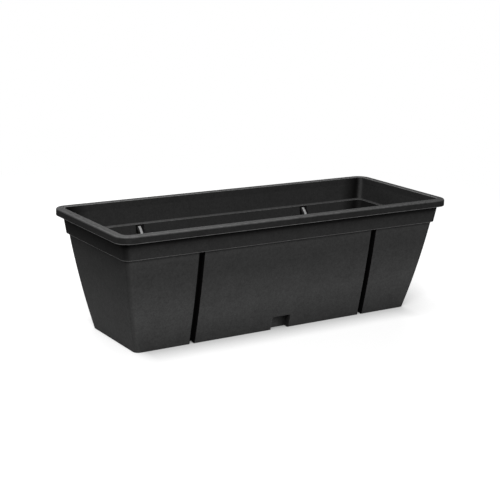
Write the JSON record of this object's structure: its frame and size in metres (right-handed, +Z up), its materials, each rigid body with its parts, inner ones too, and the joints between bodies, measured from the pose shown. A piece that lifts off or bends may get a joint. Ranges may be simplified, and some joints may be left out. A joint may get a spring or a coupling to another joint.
{
  "type": "window box planter",
  "caption": "Long tapered plastic trough with a down-turned lip, channels for hanging brackets, and lift-out plugs in the floor's drain holes.",
  "frame": {"origin": "centre of the base, on the surface that the box stands on", "axes": "+X along the length to the right seen from the front, +Y from the front wall to the back wall, +Z up"},
  "size_m": [0.5, 0.194, 0.157],
  "materials": {
    "trough_plastic": "fine matt grain, injection moulded",
    "plug_plastic": "smooth matt, injection moulded"
  },
  "bodies": {
    "trough": {"trough": "trough_plastic"},
    "plug_left_end": {"drain_plug_left_end": "plug_plastic"},
    "plug_left_middle": {"drain_plug_left_middle": "plug_plastic"},
    "plug_right_middle": {"drain_plug_right_middle": "plug_plastic"},
    "plug_right_end": {"drain_plug_right_end": "plug_plastic"}
  },
  "joints": [
    {"name": "plug_left_end_lift", "type": "slide", "parent": "trough", "child": "plug_left_end", "axis": [0, 0, 1], "range_m": [0, 0.162]},
    {"name": "plug_left_middle_lift", "type": "slide", "parent": "trough", "child": "plug_left_middle", "axis": [0, 0, 1], "range_m": [0, 0.162]},
    {"name": "plug_right_middle_lift", "type": "slide", "parent": "trough", "child": "plug_right_middle", "axis": [0, 0, 1], "range_m": [0, 0.162]},
    {"name": "plug_right_end_lift", "type": "slide", "parent": "trough", "child": "plug_right_end", "axis": [0, 0, 1], "range_m": [0, 0.162]}
  ]
}
